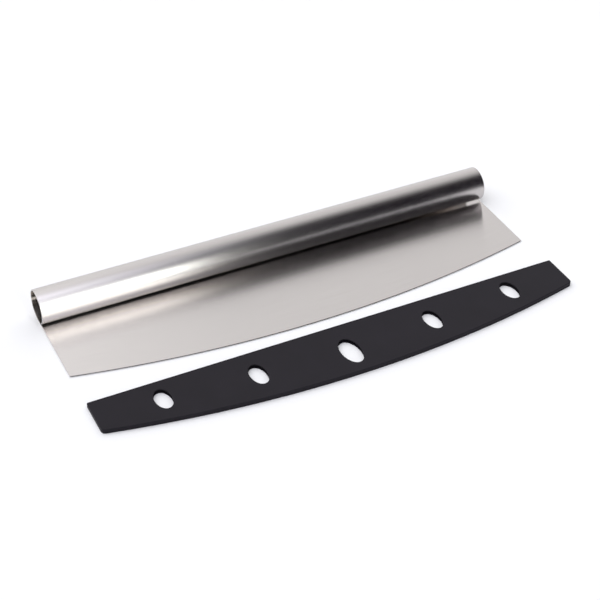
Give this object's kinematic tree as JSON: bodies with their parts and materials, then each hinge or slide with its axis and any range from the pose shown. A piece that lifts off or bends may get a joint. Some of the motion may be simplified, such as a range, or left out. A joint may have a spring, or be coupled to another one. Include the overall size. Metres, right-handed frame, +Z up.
{
  "type": "rocking pizza knife",
  "caption": "Rocking pizza knife: a stainless sheet rolled into a tubular handle and left flat as a curved blade, with a slide-on plastic blade cover with oval holes.",
  "frame": {"origin": "on the surface that both pieces lie on, below the centre of the whole set's bounding box", "axes": "+X along the handle, -Y the way the cutting edge points, +Z up from the surface"},
  "size_m": [0.353, 0.1606, 0.025],
  "materials": {
    "stainless_sheet": "fine brushed along the handle, satin",
    "cover_plastic": "matte moulded black"
  },
  "bodies": {
    "knife": {"rolled_blade_and_handle": "stainless_sheet"},
    "cover": {"blade_cover": "cover_plastic"}
  },
  "joints": [
    {"name": "cover_slide", "type": "slide", "parent": "knife", "child": "cover", "axis": [-0.0267, 0.9994, -0.0233], "range_m": [0, 0.06004]}
  ]
}
